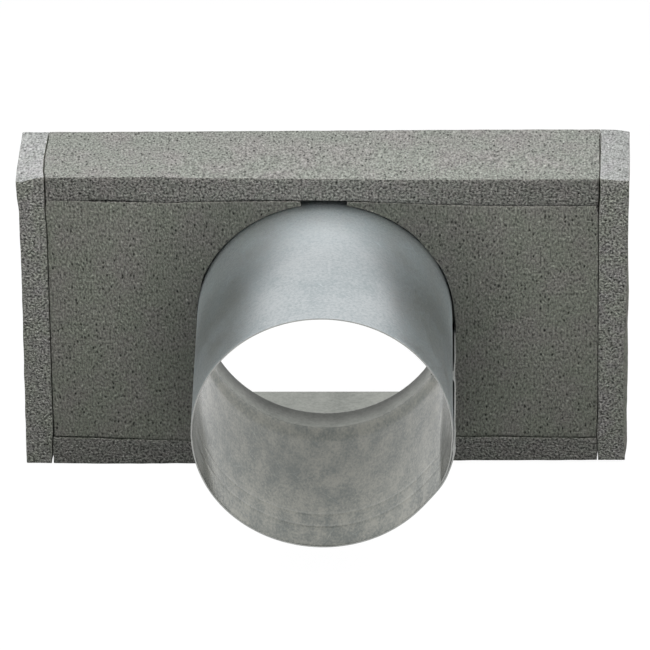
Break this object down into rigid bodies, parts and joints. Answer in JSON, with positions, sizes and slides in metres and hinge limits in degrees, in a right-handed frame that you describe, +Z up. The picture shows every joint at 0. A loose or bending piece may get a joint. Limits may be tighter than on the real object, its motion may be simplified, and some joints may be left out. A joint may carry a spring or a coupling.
{
  "type": "insulated duct cover",
  "caption": "Insulated duct cover: a shallow open-backed sheet-metal box clad in grey foam panels, with a round galvanised spigot on its front.",
  "frame": {"origin": "on the spigot's axis, in the plane of the front foam panel's face", "axes": "+X across the cover to the right seen from the spigot's side, +Y from the spigot towards the open rear, +Z up"},
  "size_m": [0.237, 0.131, 0.1276],
  "materials": {
    "galvanised_sheet": "hot-dip galvanised, dull",
    "galvanised_tube": "hot-dip galvanised, satin",
    "foam_skin": "closed-cell foam, embossed skin",
    "foam": "closed-cell foam, cut edges"
  },
  "bodies": {
    "root": {"shell": "galvanised_sheet", "spigot": "galvanised_tube", "foam_front": "foam_skin", "foam_top": "foam", "foam_bottom": "foam", "foam_left": "foam", "foam_right": "foam"}
  },
  "joints": []
}
